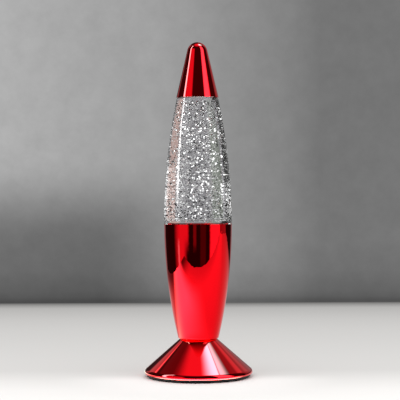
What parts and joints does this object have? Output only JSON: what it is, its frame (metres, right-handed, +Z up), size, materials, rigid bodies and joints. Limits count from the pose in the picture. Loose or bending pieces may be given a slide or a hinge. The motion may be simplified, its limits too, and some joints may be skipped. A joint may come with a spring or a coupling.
{
  "type": "glitter lamp",
  "caption": "Small battery lamp: red mirror-bright foot, sleeve and pointed cap round a clear globe of liquid and silver glitter, with an LED under the globe.",
  "frame": {"origin": "centre of the foot's resting face, on the table", "axes": "+Z up along the lamp's axis; the battery row runs along X and the slide switch is on the +Y side of the underside"},
  "size_m": [0.0616, 0.0616, 0.19],
  "materials": {
    "red_metallised": "mirror-bright red vacuum metallised plastic",
    "clear_plastic": "clear polished",
    "liquid": "clear water, a little heavier than water's 1000 kg/m3",
    "flake": "silver metallised film",
    "black_plastic": "fine texture",
    "white_plastic": "satin",
    "foam": "matt",
    "gasket": "matt",
    "steel": "zinc plated",
    "cell_can": "nickel plated",
    "switch_metal": "tin plated",
    "brass": "bright",
    "board": "solder resist",
    "led_lens": "clear lens",
    "red_insulation": "flexible insulation",
    "black_insulation": "flexible insulation"
  },
  "bodies": {
    "base": {"foot_pad": "foam", "base_plate": "black_plastic", "base_screws": "steel", "foot": "red_metallised", "contact_spring": "steel", "contact_plate": "steel", "button_cell_1": "cell_can", "button_cell_2": "cell_can", "button_cell_3": "cell_can", "switch_housing": "switch_metal", "switch_pins": "brass", "lead_battery": "red_insulation", "lead_red": "red_insulation", "lead_black": "black_insulation", "sleeve": "red_metallised", "sleeve_screws": "steel", "led_carrier": "white_plastic", "led_board": "board", "board_screws": "steel", "led_resistor": "black_plastic", "led": "led_lens", "reflector": "white_plastic"},
    "switch": {"switch_knob": "black_plastic"},
    "door": {"battery_door": "black_plastic", "door_screw": "steel"},
    "globe": {"globe": "clear_plastic", "liquid": "liquid", "glitter": "flake", "neck_stopper": "white_plastic", "stopper_gasket": "gasket"},
    "cap": {"top_cap": "red_metallised"}
  },
  "joints": [
    {"name": "switch_slide", "type": "slide", "parent": "base", "child": "switch", "axis": [1, 0, 0], "range_m": [0, 0.002]},
    {"name": "door_drop", "type": "slide", "parent": "base", "child": "door", "axis": [0, 0, -1], "range_m": [0, 0.014]},
    {"name": "globe_lift", "type": "slide", "parent": "base", "child": "globe", "axis": [0, 0, 1], "range_m": [0, 0.03]},
    {"name": "cap_lift", "type": "slide", "parent": "globe", "child": "cap", "axis": [0, 0, 1], "range_m": [0, 0.03]}
  ]
}
